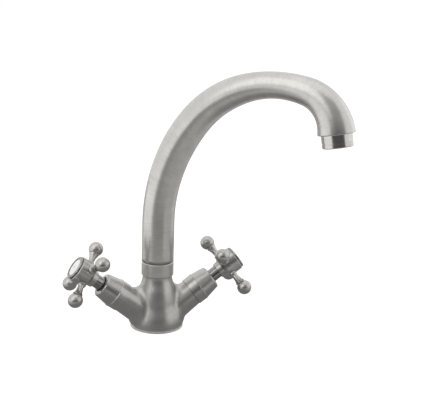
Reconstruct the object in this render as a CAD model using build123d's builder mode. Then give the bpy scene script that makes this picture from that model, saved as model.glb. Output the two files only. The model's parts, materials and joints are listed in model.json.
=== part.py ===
"""Two-handle deck mixer: a bell-shaped body with two inclined valve arms, cross
handles with ball ends and a swan-neck spout that swings. Millimetres, +Z up.
The origin is the centre of the base's underside, where it meets the deck."""

from build123d import *
from math import cos, radians, sin, sqrt, tan
import os

os.makedirs("parts", exist_ok=True)

# Body casting: bell-shaped base and round column
base_radius = 25.0
rim_height = 2.2
base_chamfer = 0.4
bell_low_height = 16.0
bell_low_flare = 7.0
bell_high_height = 38.0
bell_high_flare = 3.0
column_radius = 13.8
column_height = 50.4

# The two valve arms rise sideways from the column's foot
arm_angle = 36.1
arm_start_height = 5.65
arm_root_distance = 8.0
arm_root_radius = 15.0
arm_tip_radius = 13.15
arm_length = 41.6
blend_radius = 7.0
blend_margin = 1.4

# Water ways and holes in the body
inlet_offset = 11.5
inlet_thread_radius = 5.0
inlet_thread_depth = 9.0
passage_radius = 4.0
stud_radius = 4.0
stud_depth = 12.0
mixing_radius = 8.0
mixing_floor = 18.0
port_height = 24.0
port_radius = 3.5
gasket_inner_radius = 19.0
gasket_outer_radius = 22.5
gasket_thickness = 2.0
gasket_clearance = 0.1

# Spout union: spigot on the column, collar, glide ring and nipple
spigot_radius = 12.6
spigot_height = 8.0
thread_clearance = 0.05
collar_radius = 15.05
collar_height = 13.4
collar_chamfer = 0.8
collar_lip_radius = 10.3
collar_lip_height = 3.4
glide_ring_thickness = 1.1
glide_ring_proud = 0.3
glide_gap = 0.1
nipple_radius = 10.0
nipple_bore_radius = 6.5
nipple_thread_length = 12.0
nipple_foot_gap = 2.0
socket_depth = 17.0
running_clearance = 0.06
oring_section_radius = 1.0
nipple_oring_depths = (8.0, 12.6)
oring_groove_gap = 0.2
snap_ring_thickness = 1.5
snap_ring_radius = 11.7
snap_ring_lift = 0.35
snap_ring_gap_angle = 40.0
snap_groove_radius = 8.9

# Swan-neck spout: a straight foot, three arcs and a short straight end
spout_swing = 44.0
spout_foot_length = 36.0
neck_arcs = ((154.5, 40.4), (102.0, 64.2), (37.7, 65.2))
spout_end_length = 3.1
spout_wall = 2.6
spout_radii = ((0.0, 15.0), (0.1, 14.95), (0.2, 14.9), (0.4, 15.1), (0.6, 13.5), (0.75, 11.5),
               (0.88, 12.65), (1.0, 16.0))
spout_rim_fillet = 0.9

# Aerator in the spout's mouth
aerator_seat_depth = 9.6
aerator_thread_length = 8.0
housing_radius = 13.15
housing_length = 11.1
housing_wall = 1.75
housing_lip_width = 1.2
housing_lip_thickness = 1.2
flats_depth = 1.1
flats_length = 6.6
housing_groove_depth = 0.5
housing_groove_width = 0.8
housing_edge_chamfer = 0.6
insert_clearance = 0.1
insert_hole_radius = 0.85
insert_hole_pitch = 2.9
insert_hole_rings = 3
screen_thickness = 0.5
screen_hole_radius = 0.6
screen_hole_pitch = 2.15
screen_hole_rings = 4
aerator_washer_thickness = 1.0
aerator_washer_width = 3.1

# Ceramic headwork in each arm
valve_depth = 20.0
chamber_clearance = 0.6
valve_thread_length = 9.0
valve_thread_radius = 10.35
barrel_radius = 9.0
barrel_bore_radius = 7.4
barrel_foot_gap = 0.5
window_width = 9.0
window_height = 4.5
seat_seal_thickness = 2.6
seat_seal_bore = 4.4
disc_radius = 7.3
disc_thickness = 3.2
disc_gap = 0.05
disc_port_inner = 2.4
disc_port_outer = 6.0
disc_port_angle = 76.0
fixed_port_middles = (0, 180)
moving_port_middles = (90, 270)
drive_tongue_width = 3.0
drive_tongue_length = 12.0
drive_tongue_depth = 1.6
spindle_flange_radius = 7.2
spindle_flange_thickness = 2.5
thrust_washer_thickness = 0.5
cartridge_gasket_thickness = 0.8
cartridge_flange_radius = 11.9
cartridge_flange_thickness = 1.2
hexagon_width = 21.0
hexagon_thickness = 4.4
land_radius = 9.0
land_length = 9.5
neck_radius = 6.3
spindle_seal_radius = 5.0
spindle_seal_length = 13.0
spindle_radius = 4.0
spindle_oring_radius = 0.8
spindle_oring_distances = (3.5, 8.5)
clip_groove_radius = 3.3
clip_thickness = 0.7
clip_radius = 5.6
clip_gap_angle = 60.0

# Ridged sleeve over each headwork
cover_seam = 0.3
cover_length = 24.65
cover_foot_radius = 13.8
cover_ridge_radius = 14.2
cover_ridge_distance = 9.45
cover_ridge_width = 0.9
cover_shoulder_radius = 11.3
cover_shoulder_fillet = 2.0
cover_mouth_radius = 7.8
cover_clearance = 0.35

# Cross handle: hub, four arms with ball ends, bezel and index disc
neck_visible = 8.4
neck_in_hub = 2.7
hub_back_length = 9.65
hub_front_length = 10.8
hub_back_radius = 7.6
hub_sleeve_radius = 8.1
hub_sleeve_length = 4.5
hub_cone_radius = 11.6
hub_cone_length = 2.7
hub_radius = 12.1
hub_edge_chamfer = 0.5
hub_recess_radius = 6.8
hub_recess_depth = 4.2
hub_socket_depth = 8.4
hub_web = 2.2
serration_count = 20
serration_radius = 0.25
screw_shank_radius = 2.3
screw_head_radius = 4.2
screw_head_height = 2.8
screw_length = 10.0
screw_tip_gap = 0.8
screw_key_radius = 1.7
screw_key_depth = 1.6
arms_per_handle = 4
hot_cross_turn = 39.7
cold_cross_turn = -41.7
ball_circle_radius = 29.0
ball_radius = 6.85
arm_stud_radius = 2.4
arm_stud_length = 4.0
arm_boss_radius = 4.0
arm_boss_seat = 10.9
arm_boss_length = 1.4
arm_waist_radius = 2.85
arm_waist_distance = 16.0
arm_flare_radius = 4.5
arm_undercut_radius = 3.6
arm_undercut_width = 0.7
fit_gap = 0.05
bezel_radius = 11.3
bezel_gap = 0.8
bezel_thickness = 1.6
bezel_edge = 0.6
bezel_spigot_radius = 9.7
bezel_spigot_length = 3.6
index_radius = 8.8
index_thickness = 1.7
index_recess = 0.05
index_dome = 0.4
index_ledge_width = 1.2

# Places that follow from the sizes above
sides = ((-1, "hot", hot_cross_turn), (1, "cold", cold_cross_turn))
arm_origin = Vector(0, 0, arm_start_height)
spigot_top = column_height + spigot_height
socket_radius = nipple_radius + running_clearance
socket_floor = spigot_top - socket_depth
collar_top = column_height + collar_height
collar_bore_radius = spigot_radius + thread_clearance
glide_ring_top = collar_top + glide_ring_proud
spout_base = glide_ring_top + glide_gap
seat_distance = arm_length - valve_depth
thread_start = arm_length - valve_thread_length
chamber_radius = barrel_radius + chamber_clearance
cover_start = arm_length + cover_seam
cover_end = arm_length + cover_length
hub_back = cover_end + neck_visible
neck_end = hub_back + neck_in_hub
cross_distance = hub_back + hub_back_length
hub_front = cross_distance + hub_front_length
fixed_disc_start = seat_distance + seat_seal_thickness
moving_disc_start = fixed_disc_start + disc_thickness + disc_gap
flange_start = moving_disc_start + disc_thickness + disc_gap
flange_end = flange_start + spindle_flange_thickness
barrel_shoulder = flange_end + 2 * disc_gap + thrust_washer_thickness
hub_socket_start = hub_back + hub_recess_depth
hub_socket_end = hub_socket_start + hub_socket_depth
hub_recess_floor = hub_socket_end + hub_web
spindle_end = hub_socket_end - 2 * fit_gap
bezel_back = hub_front + bezel_gap
bezel_front = bezel_back + bezel_thickness


def arm_direction(side):
    """Unit vector out along a valve arm; side is -1 for hot and 1 for cold."""
    return Vector(side * cos(radians(arm_angle)), 0, sin(radians(arm_angle)))


def arm_up(side):
    """Unit vector square to the arm, in the plane of both arms, pointing up and in."""
    return Vector(-side * sin(radians(arm_angle)), 0, cos(radians(arm_angle)))


def arm_axis(side):
    return Axis(arm_origin, arm_direction(side))


def arm_profile(side):
    """Plane for a turned profile: X is the radius and Y the distance out along the arm."""
    return Plane(origin=arm_origin, x_dir=arm_up(side), z_dir=(0, side, 0))


def arm_section(side, distance):
    """Plane across the arm at a distance out from its start, facing outwards."""
    centre = arm_origin + arm_direction(side) * distance
    return Plane(origin=centre, x_dir=arm_up(side), z_dir=arm_direction(side))


def save(piece, name):
    piece.part.label = name
    export_step(piece.part, f"parts/{name}.step")


# Body casting
inlet_meet_height = arm_start_height + inlet_offset * tan(radians(arm_angle))
passage_start = inlet_offset / cos(radians(arm_angle))
port_top = port_height + port_radius
port_rise = port_top - arm_start_height - chamber_radius * cos(radians(arm_angle))
port_meet = port_rise / sin(radians(arm_angle))
port_reach = port_meet * cos(radians(arm_angle)) - chamber_radius * sin(radians(arm_angle))

with BuildPart() as mixer_body:
    with BuildSketch(Plane.XZ):
        with BuildLine():
            rim = Polyline((column_radius, column_height), (0, column_height), (0, 0),
                           (base_radius, 0), (base_radius, rim_height))
            Spline(rim @ 1, (column_radius + bell_low_flare, bell_low_height),
                   (column_radius + bell_high_flare, bell_high_height), rim @ 0,
                   tangents=((-0.5, 0.8), (0, 1)))
        make_face()
    revolve(axis=Axis.Z)
    for side, name, cross_turn in sides:
        with BuildSketch(arm_profile(side)):
            with BuildLine():
                Polyline((0, arm_root_distance), (arm_root_radius, arm_root_distance),
                         (arm_tip_radius, arm_length), (0, arm_length), close=True)
            make_face()
        revolve(axis=arm_axis(side))
    split(bisect_by=Plane.XY, keep=Keep.TOP)
    plain_edges = (GeomType.CIRCLE, GeomType.LINE, GeomType.ELLIPSE)
    blend = min(blend_radius, column_height - bell_high_height - blend_margin)
    fillet(ShapeList(e for e in mixer_body.edges() if e.geom_type not in plain_edges), radius=blend)
    chamfer(mixer_body.edges().filter_by(GeomType.CIRCLE).sort_by(Axis.Z)[0], length=base_chamfer)

    # Spigot for the collar, and the socket that the nipple turns in
    with BuildSketch(Plane.XY.offset(column_height)):
        Circle(spigot_radius)
    extrude(amount=spigot_height)
    with BuildSketch(Plane.XY.offset(socket_floor)):
        Circle(socket_radius)
    extrude(amount=socket_depth, mode=Mode.SUBTRACT)
    with BuildSketch(Plane.XY.offset(mixing_floor)):
        Circle(mixing_radius)
    extrude(amount=socket_floor - mixing_floor, mode=Mode.SUBTRACT)

    # Valve chambers with their threads, joined to the mixing bore by a cross port
    for side, name, cross_turn in sides:
        with BuildSketch(arm_profile(side)):
            with BuildLine():
                Polyline((0, passage_start), (passage_radius, passage_start),
                         (passage_radius, seat_distance), (chamber_radius, seat_distance),
                         (chamber_radius, thread_start),
                         (valve_thread_radius + thread_clearance, thread_start),
                         (valve_thread_radius + thread_clearance, cover_start), (0, cover_start),
                         close=True)
            make_face()
        revolve(axis=arm_axis(side), mode=Mode.SUBTRACT)
    with BuildSketch(Plane.YZ):
        with Locations((0, port_height)):
            Circle(port_radius)
    extrude(amount=port_reach, both=True, mode=Mode.SUBTRACT)

    # Holes in the underside: two hose inlets, the stud hole and the gasket's groove
    with BuildSketch(Plane.XY):
        with Locations((inlet_offset, 0), (-inlet_offset, 0)):
            Circle(inlet_thread_radius)
    extrude(amount=inlet_thread_depth, mode=Mode.SUBTRACT)
    with BuildSketch(Plane.XY):
        with Locations((inlet_offset, 0), (-inlet_offset, 0)):
            Circle(passage_radius)
    extrude(amount=inlet_meet_height, mode=Mode.SUBTRACT)
    with BuildSketch(Plane.XY):
        Circle(stud_radius)
    extrude(amount=stud_depth, mode=Mode.SUBTRACT)
    with BuildSketch(Plane.XY):
        Circle(gasket_outer_radius)
        Circle(gasket_inner_radius, mode=Mode.SUBTRACT)
    extrude(amount=gasket_thickness, mode=Mode.SUBTRACT)
save(mixer_body, "mixer_body")

with BuildPart() as base_gasket:
    with BuildSketch(Plane.XY):
        Circle(gasket_outer_radius - gasket_clearance)
        Circle(gasket_inner_radius + gasket_clearance, mode=Mode.SUBTRACT)
    extrude(amount=gasket_thickness)
save(base_gasket, "base_gasket")

# Union collar, screwed on the spigot, with a lip over the snap ring
lip_bottom = collar_top - collar_lip_height
glide_seat = glide_ring_top - glide_ring_thickness
with BuildPart() as spout_collar:
    with BuildSketch(Plane.XZ):
        with BuildLine():
            Polyline((collar_bore_radius, column_height),
                     (collar_radius - collar_chamfer, column_height),
                     (collar_radius, column_height + collar_chamfer),
                     (collar_radius, collar_top - collar_chamfer),
                     (collar_radius - collar_chamfer, collar_top), (column_radius, collar_top),
                     (column_radius, glide_seat), (collar_lip_radius, glide_seat),
                     (collar_lip_radius, lip_bottom), (collar_bore_radius, lip_bottom), close=True)
        make_face()
    revolve(axis=Axis.Z)
save(spout_collar, "spout_collar")

with BuildPart() as glide_ring:
    with BuildSketch(Plane.XY.offset(glide_seat)):
        Circle(column_radius - fit_gap)
        Circle(collar_lip_radius, mode=Mode.SUBTRACT)
    extrude(amount=glide_ring_thickness)
save(glide_ring, "glide_ring")

# Swan neck: its centre line lies in an upright plane swung to the side of the front
swing = radians(spout_swing)
neck_plane = Plane(origin=(0, 0, spout_base), x_dir=(sin(swing), -cos(swing), 0),
                   z_dir=(-cos(swing), -sin(swing), 0))
with BuildLine(neck_plane) as neck_line:
    stretch = Line((0, 0), (0, spout_foot_length))
    for arc_radius, arc_angle in neck_arcs:
        stretch = JernArc(stretch @ 1, stretch % 1, arc_radius, -arc_angle)
    PolarLine(stretch @ 1, spout_end_length, direction=stretch % 1)
neck_path = neck_line.wires()[0]
mouth_radius = spout_radii[-1][1] - spout_wall


def neck_section(fraction):
    """Plane across the spout at a share of its length."""
    return Plane(origin=neck_path @ fraction, x_dir=neck_plane.z_dir, z_dir=neck_path % fraction)


mouth_axis = Axis(neck_path @ 1, neck_path % 1)
mouth_section = Plane(origin=neck_path @ 1, x_dir=neck_plane.z_dir, z_dir=neck_path % 1)
mouth_profile = Plane(origin=neck_path @ 1, x_dir=neck_plane.z_dir,
                      z_dir=neck_plane.z_dir.cross(neck_path % 1))
with BuildPart() as spout_tube:
    for fraction, tube_radius in spout_radii:
        with BuildSketch(neck_section(fraction)):
            Circle(tube_radius)
    sweep(path=neck_path, multisection=True)
    mouth = spout_tube.faces().sort_by_distance(neck_path @ 1)[0]
    fillet(mouth.edges(), radius=spout_rim_fillet)
    for fraction, tube_radius in spout_radii:
        with BuildSketch(neck_section(fraction)):
            Circle(tube_radius - spout_wall)
    sweep(path=neck_path, multisection=True, mode=Mode.SUBTRACT)
    with BuildSketch(mouth_section):
        Circle(mouth_radius)
    extrude(amount=-aerator_seat_depth, mode=Mode.SUBTRACT)
save(spout_tube, "spout_tube")

# Nipple: thread in the spout's foot, plain pin with O-ring and snap ring grooves in the column
nipple_foot = socket_floor + nipple_foot_gap
nipple_thread_radius = spout_radii[0][1] - spout_wall - thread_clearance
nipple_oring_heights = [spigot_top - depth for depth in nipple_oring_depths]
nipple_groove_radius = nipple_radius - 2 * oring_section_radius
nipple_groove_width = 2 * (oring_section_radius + oring_groove_gap)
snap_bottom = spigot_top + snap_ring_lift
with BuildPart() as swivel_nipple:
    with BuildSketch(Plane.XY.offset(nipple_foot)):
        Circle(nipple_radius)
    extrude(amount=spout_base - nipple_foot)
    with BuildSketch(Plane.XY.offset(spout_base)):
        Circle(nipple_thread_radius)
    extrude(amount=nipple_thread_length)
    for height in nipple_oring_heights:
        with BuildSketch(Plane.XY.offset(height - nipple_groove_width / 2)):
            Circle(nipple_radius)
            Circle(nipple_groove_radius - fit_gap, mode=Mode.SUBTRACT)
        extrude(amount=nipple_groove_width, mode=Mode.SUBTRACT)
    with BuildSketch(Plane.XY.offset(snap_bottom - fit_gap)):
        Circle(nipple_radius)
        Circle(snap_groove_radius, mode=Mode.SUBTRACT)
    extrude(amount=snap_ring_thickness + 2 * fit_gap, mode=Mode.SUBTRACT)
    with BuildSketch(Plane.XY.offset(nipple_foot)):
        Circle(nipple_bore_radius)
    extrude(amount=spout_base + nipple_thread_length - nipple_foot, mode=Mode.SUBTRACT)
save(swivel_nipple, "swivel_nipple")

with BuildPart() as nipple_orings:
    with BuildSketch(Plane.XZ):
        for height in nipple_oring_heights:
            with Locations((nipple_groove_radius + oring_section_radius, height)):
                Circle(oring_section_radius)
    revolve(axis=Axis.Z)
save(nipple_orings, "nipple_orings")

with BuildPart() as snap_ring:
    with BuildSketch(Plane.XY.offset(snap_bottom)):
        with BuildLine():
            outer = CenterArc((0, 0), snap_ring_radius, snap_ring_gap_angle / 2,
                              360 - snap_ring_gap_angle)
            inner = CenterArc((0, 0), snap_groove_radius + fit_gap, snap_ring_gap_angle / 2,
                              360 - snap_ring_gap_angle)
            Line(outer @ 0, inner @ 0)
            Line(outer @ 1, inner @ 1)
        make_face()
    extrude(amount=snap_ring_thickness)
save(snap_ring, "snap_ring")

# Aerator: nut with two spanner flats, washer, strainer disc and perforated insert
housing_thread_radius = mouth_radius - thread_clearance
housing_bore_radius = housing_radius - housing_wall
housing_lip_radius = housing_bore_radius - housing_lip_width
housing_lip_top = housing_length - housing_lip_thickness
insert_radius = housing_bore_radius - insert_clearance
groove_bottom = flats_length + housing_groove_width
with BuildPart() as aerator_housing:
    with BuildSketch(mouth_profile):
        with BuildLine():
            Polyline((housing_bore_radius, -aerator_thread_length),
                     (housing_thread_radius, -aerator_thread_length),
                     (housing_thread_radius, 0), (housing_radius, 0), (housing_radius, flats_length),
                     (housing_radius - housing_groove_depth, flats_length),
                     (housing_radius - housing_groove_depth, groove_bottom),
                     (housing_radius, groove_bottom),
                     (housing_radius, housing_length - housing_edge_chamfer),
                     (housing_radius - housing_edge_chamfer, housing_length),
                     (housing_lip_radius, housing_length), (housing_lip_radius, housing_lip_top),
                     (housing_bore_radius, housing_lip_top), close=True)
        make_face()
    revolve(axis=mouth_axis)
    with BuildSketch(mouth_section):
        Circle(2 * housing_radius)
        Rectangle(4 * housing_radius, 2 * (housing_radius - flats_depth), mode=Mode.SUBTRACT)
    extrude(amount=flats_length, mode=Mode.SUBTRACT)
save(aerator_housing, "aerator_housing")

with BuildPart() as aerator_insert:
    with BuildSketch(mouth_section.offset(-aerator_thread_length)):
        Circle(insert_radius)
        Circle(insert_hole_radius, mode=Mode.SUBTRACT)
        for ring in range(1, insert_hole_rings + 1):
            with PolarLocations(ring * insert_hole_pitch, 6 * ring):
                Circle(insert_hole_radius, mode=Mode.SUBTRACT)
    extrude(amount=aerator_thread_length + housing_lip_top)
save(aerator_insert, "aerator_insert")

with BuildPart() as aerator_screen:
    with BuildSketch(mouth_section.offset(-aerator_thread_length - screen_thickness)):
        Circle(insert_radius)
        Circle(screen_hole_radius, mode=Mode.SUBTRACT)
        for ring in range(1, screen_hole_rings + 1):
            with PolarLocations(ring * screen_hole_pitch, 6 * ring):
                Circle(screen_hole_radius, mode=Mode.SUBTRACT)
    extrude(amount=screen_thickness)
save(aerator_screen, "aerator_screen")

with BuildPart() as aerator_washer:
    with BuildSketch(mouth_section.offset(-aerator_seat_depth)):
        Circle(housing_thread_radius)
        Circle(housing_thread_radius - aerator_washer_width, mode=Mode.SUBTRACT)
    extrude(amount=aerator_washer_thickness)
save(aerator_washer, "aerator_washer")

# Places along each headwork and handle, worked out once for both sides
flange_bottom = arm_length + cartridge_gasket_thickness
flange_top = flange_bottom + cartridge_flange_thickness
hexagon_end = flange_top + hexagon_thickness
land_end = hexagon_end + land_length
seal_end = flange_end + spindle_seal_length
spindle_bore = spindle_radius + running_clearance
seal_bore = spindle_seal_radius + running_clearance
spindle_groove_radius = spindle_seal_radius - 2 * spindle_oring_radius
spindle_groove_width = 2 * (spindle_oring_radius + oring_groove_gap)
clip_start = neck_end + 2 * fit_gap
ball_foot = ball_circle_radius - sqrt(ball_radius**2 - arm_undercut_radius**2)
flare_distance = ball_foot - arm_undercut_width
index_front = bezel_front - index_recess
index_back = index_front - index_thickness
index_ledge_radius = index_radius - index_ledge_width

for side, name, cross_turn in sides:
    profile = arm_profile(side)
    axis = arm_axis(side)
    cross = arm_section(side, cross_distance)
    turns = [radians(cross_turn + 360 / arms_per_handle * place) for place in range(arms_per_handle)]
    reaches = [cross.x_dir * cos(turn) + cross.y_dir * sin(turn) for turn in turns]

    with BuildPart() as valve_cover:
        with BuildSketch(profile):
            with BuildLine():
                ridge = arm_length + cover_ridge_distance
                inside = cartridge_flange_radius + cover_clearance
                ceiling = hexagon_end + cover_clearance
                Polyline((inside, cover_start), (cover_foot_radius, cover_start),
                         (cover_ridge_radius - cover_ridge_width / 4, ridge - cover_ridge_width / 2),
                         (cover_ridge_radius, ridge - cover_ridge_width / 4),
                         (cover_ridge_radius, ridge),
                         (cover_ridge_radius - cover_ridge_width / 2, ridge + cover_ridge_width / 2),
                         (cover_shoulder_radius, cover_end), (cover_mouth_radius, cover_end),
                         (cover_mouth_radius, land_end), (land_radius + thread_clearance, land_end),
                         (land_radius + thread_clearance, ceiling), (inside, ceiling), close=True)
            make_face()
        revolve(axis=axis)
        fillet(valve_cover.faces().sort_by(axis)[-1].outer_wire().edges(), radius=cover_shoulder_fillet)
    save(valve_cover, f"{name}_valve_cover")

    with BuildPart() as cartridge_body:
        with BuildSketch(profile):
            with BuildLine():
                foot = seat_distance + barrel_foot_gap
                Polyline((barrel_bore_radius, foot), (barrel_radius, foot),
                         (barrel_radius, thread_start + fit_gap),
                         (valve_thread_radius, thread_start + fit_gap),
                         (valve_thread_radius, flange_bottom), (cartridge_flange_radius, flange_bottom),
                         (cartridge_flange_radius, flange_top),
                         (land_radius, flange_top), (land_radius, land_end - fit_gap),
                         (neck_radius, land_end - fit_gap), (neck_radius, neck_end),
                         (spindle_bore, neck_end), (spindle_bore, seal_end), (seal_bore, seal_end),
                         (seal_bore, barrel_shoulder),
                         (barrel_bore_radius, barrel_shoulder), close=True)
            make_face()
        revolve(axis=axis)
        with BuildSketch(arm_section(side, flange_top)):
            RegularPolygon(hexagon_width / 2, 6, major_radius=False)
            Circle(cartridge_flange_radius, mode=Mode.INTERSECT)
            Circle(neck_radius, mode=Mode.SUBTRACT)
        extrude(amount=hexagon_thickness)
        with BuildSketch(arm_section(side, moving_disc_start)):
            Rectangle(window_width, 4 * barrel_radius)
        extrude(amount=window_height, mode=Mode.SUBTRACT)
    save(cartridge_body, f"{name}_cartridge_body")

    with BuildPart() as cartridge_gasket:
        with BuildSketch(arm_section(side, arm_length)):
            Circle(cartridge_flange_radius)
            Circle(valve_thread_radius + thread_clearance, mode=Mode.SUBTRACT)
        extrude(amount=cartridge_gasket_thickness)
    save(cartridge_gasket, f"{name}_cartridge_gasket")

    with BuildPart() as seat_seal:
        with BuildSketch(arm_section(side, seat_distance)):
            Circle(disc_radius)
            Circle(seat_seal_bore, mode=Mode.SUBTRACT)
        extrude(amount=seat_seal_thickness)
    save(seat_seal, f"{name}_seat_seal")

    with BuildPart() as fixed_disc:
        with BuildSketch(arm_section(side, fixed_disc_start)):
            Circle(disc_radius)
            for middle in fixed_port_middles:
                with BuildLine():
                    first = middle - disc_port_angle / 2
                    outer = CenterArc((0, 0), disc_port_outer, first, disc_port_angle)
                    inner = CenterArc((0, 0), disc_port_inner, first, disc_port_angle)
                    Line(outer @ 0, inner @ 0)
                    Line(outer @ 1, inner @ 1)
                make_face(mode=Mode.SUBTRACT)
        extrude(amount=disc_thickness)
    save(fixed_disc, f"{name}_fixed_disc")

    with BuildPart() as moving_disc:
        with BuildSketch(arm_section(side, moving_disc_start)):
            Circle(disc_radius)
            for middle in moving_port_middles:
                with BuildLine():
                    first = middle - disc_port_angle / 2
                    outer = CenterArc((0, 0), disc_radius + disc_port_inner, first, disc_port_angle)
                    inner = CenterArc((0, 0), disc_port_inner, first, disc_port_angle)
                    Line(outer @ 0, inner @ 0)
                    Line(outer @ 1, inner @ 1)
                make_face(mode=Mode.SUBTRACT)
        extrude(amount=disc_thickness)
        with BuildSketch(arm_section(side, flange_start - drive_tongue_depth - fit_gap)):
            Rectangle(drive_tongue_length + 2 * fit_gap, drive_tongue_width + 2 * fit_gap)
        extrude(amount=drive_tongue_depth + fit_gap, mode=Mode.SUBTRACT)
    save(moving_disc, f"{name}_moving_disc")

    with BuildPart() as thrust_washer:
        with BuildSketch(arm_section(side, barrel_shoulder - thrust_washer_thickness)):
            Circle(spindle_flange_radius)
            Circle(seal_bore, mode=Mode.SUBTRACT)
        extrude(amount=thrust_washer_thickness)
    save(thrust_washer, f"{name}_thrust_washer")

    oring_distances = [flange_end + distance for distance in spindle_oring_distances]
    with BuildPart() as spindle:
        with BuildSketch(profile):
            with BuildLine():
                Polyline((0, flange_start), (spindle_flange_radius, flange_start),
                         (spindle_flange_radius, flange_end), (spindle_seal_radius, flange_end),
                         (spindle_seal_radius, seal_end - 2 * fit_gap),
                         (spindle_radius, seal_end - 2 * fit_gap),
                         (spindle_radius, spindle_end), (0, spindle_end), close=True)
            make_face()
        revolve(axis=axis)
        with BuildSketch(arm_section(side, flange_start - drive_tongue_depth)):
            Rectangle(drive_tongue_length, drive_tongue_width)
        extrude(amount=drive_tongue_depth)
        for distance in oring_distances:
            with BuildSketch(arm_section(side, distance - spindle_groove_width / 2)):
                Circle(spindle_seal_radius)
                Circle(spindle_groove_radius - fit_gap, mode=Mode.SUBTRACT)
            extrude(amount=spindle_groove_width, mode=Mode.SUBTRACT)
        with BuildSketch(arm_section(side, clip_start - fit_gap)):
            Circle(spindle_radius)
            Circle(clip_groove_radius, mode=Mode.SUBTRACT)
        extrude(amount=clip_thickness + 2 * fit_gap, mode=Mode.SUBTRACT)
        with BuildSketch(arm_section(side, hub_socket_start)):
            with PolarLocations(spindle_radius, serration_count):
                Circle(serration_radius)
        extrude(amount=hub_socket_depth, mode=Mode.SUBTRACT)
        with BuildSketch(arm_section(side, hub_recess_floor - screw_length - screw_tip_gap)):
            Circle(screw_shank_radius + thread_clearance)
        extrude(amount=screw_length, mode=Mode.SUBTRACT)
    save(spindle, f"{name}_spindle")

    with BuildPart() as spindle_orings:
        with BuildSketch(profile):
            for distance in oring_distances:
                with Locations((spindle_groove_radius + spindle_oring_radius, distance)):
                    Circle(spindle_oring_radius)
        revolve(axis=axis)
    save(spindle_orings, f"{name}_spindle_orings")

    with BuildPart() as spindle_clip:
        with BuildSketch(arm_section(side, clip_start)):
            with BuildLine():
                outer = CenterArc((0, 0), clip_radius, clip_gap_angle / 2, 360 - clip_gap_angle)
                inner = CenterArc((0, 0), clip_groove_radius + fit_gap, clip_gap_angle / 2,
                                  360 - clip_gap_angle)
                Line(outer @ 0, inner @ 0)
                Line(outer @ 1, inner @ 1)
            make_face()
        extrude(amount=clip_thickness)
    save(spindle_clip, f"{name}_spindle_clip")

    with BuildPart() as handle_hub:
        with BuildSketch(profile):
            with BuildLine():
                socket = spindle_radius + fit_gap
                recess = bezel_spigot_radius + thread_clearance
                cone_start = hub_back + hub_sleeve_length
                Polyline((hub_recess_radius, hub_back), (hub_back_radius, hub_back),
                         (hub_sleeve_radius, cone_start), (hub_cone_radius, cone_start + hub_cone_length),
                         (hub_radius, hub_front - hub_edge_chamfer),
                         (hub_radius - hub_edge_chamfer, hub_front), (recess, hub_front),
                         (recess, hub_recess_floor), (screw_shank_radius + 2 * fit_gap, hub_recess_floor),
                         (screw_shank_radius + 2 * fit_gap, hub_socket_end), (socket, hub_socket_end),
                         (socket, hub_socket_start), (hub_recess_radius, hub_socket_start),
                         close=True)
            make_face()
        revolve(axis=axis)
        with BuildSketch(arm_section(side, hub_socket_start)):
            with PolarLocations(spindle_radius, serration_count):
                Circle(serration_radius - fit_gap)
        extrude(amount=hub_socket_depth)
        for reach in reaches:
            with BuildSketch(Plane(origin=cross.origin + reach * arm_boss_seat, z_dir=reach)):
                Circle(arm_boss_radius + 2 * fit_gap)
            extrude(amount=hub_radius, mode=Mode.SUBTRACT)
            with BuildSketch(Plane(origin=cross.origin + reach * arm_boss_seat, z_dir=reach)):
                Circle(arm_stud_radius + fit_gap)
            extrude(amount=-arm_stud_length - fit_gap, mode=Mode.SUBTRACT)
    save(handle_hub, f"{name}_handle_hub")

    with BuildPart() as handle_arms:
        for reach in reaches:
            arm_plane = Plane(origin=cross.origin, x_dir=cross.z_dir, z_dir=cross.z_dir.cross(reach))
            with BuildSketch(arm_plane):
                with BuildLine():
                    boss_end = arm_boss_seat + arm_boss_length
                    stud_end = arm_boss_seat - arm_stud_length
                    foot = Polyline((0, stud_end), (arm_stud_radius, stud_end),
                                    (arm_stud_radius, arm_boss_seat), (arm_boss_radius, arm_boss_seat),
                                    (arm_boss_radius, boss_end))
                    waist = Spline(foot @ 1, (arm_waist_radius, arm_waist_distance),
                                   (arm_flare_radius, flare_distance), tangents=((-1, 0.4), (0.5, 1)))
                    undercut = Polyline(waist @ 1, (arm_undercut_radius, flare_distance),
                                        (arm_undercut_radius, ball_foot))
                    ball = ThreePointArc(undercut @ 1, (ball_radius, ball_circle_radius),
                                         (0, ball_circle_radius + ball_radius))
                    Line(ball @ 1, foot @ 0)
                make_face()
            revolve(axis=Axis(cross.origin, reach))
    save(handle_arms, f"{name}_handle_arms")

    with BuildPart() as handle_screw:
        with BuildSketch(arm_section(side, hub_recess_floor)):
            Circle(screw_head_radius)
        extrude(amount=screw_head_height)
        with BuildSketch(arm_section(side, hub_recess_floor)):
            Circle(screw_shank_radius)
        extrude(amount=-screw_length)
        with BuildSketch(arm_section(side, hub_recess_floor + screw_head_height)):
            RegularPolygon(screw_key_radius, 6)
        extrude(amount=-screw_key_depth, mode=Mode.SUBTRACT)
    save(handle_screw, f"{name}_handle_screw")

    with BuildPart() as index_bezel:
        with BuildSketch(profile):
            with BuildLine():
                spigot_end = hub_front - bezel_spigot_length
                seat = index_radius + fit_gap
                Polyline((index_ledge_radius, spigot_end), (bezel_spigot_radius, spigot_end),
                         (bezel_spigot_radius, bezel_back), (bezel_radius, bezel_back),
                         (bezel_radius, bezel_front - bezel_edge),
                         (bezel_radius - bezel_edge, bezel_front), (seat, bezel_front),
                         (seat, index_back), (index_ledge_radius, index_back), close=True)
            make_face()
        revolve(axis=axis)
    save(index_bezel, f"{name}_index_bezel")

    with BuildPart() as index_disc:
        with BuildSketch(profile):
            with BuildLine():
                edge = Polyline((0, index_front), (0, index_back), (index_radius, index_back),
                                (index_radius, index_front - index_dome))
                TangentArc(edge @ 0, edge @ 1, tangent=(1, 0))
            make_face()
        revolve(axis=axis)
    save(index_disc, f"{name}_index_disc")
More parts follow.
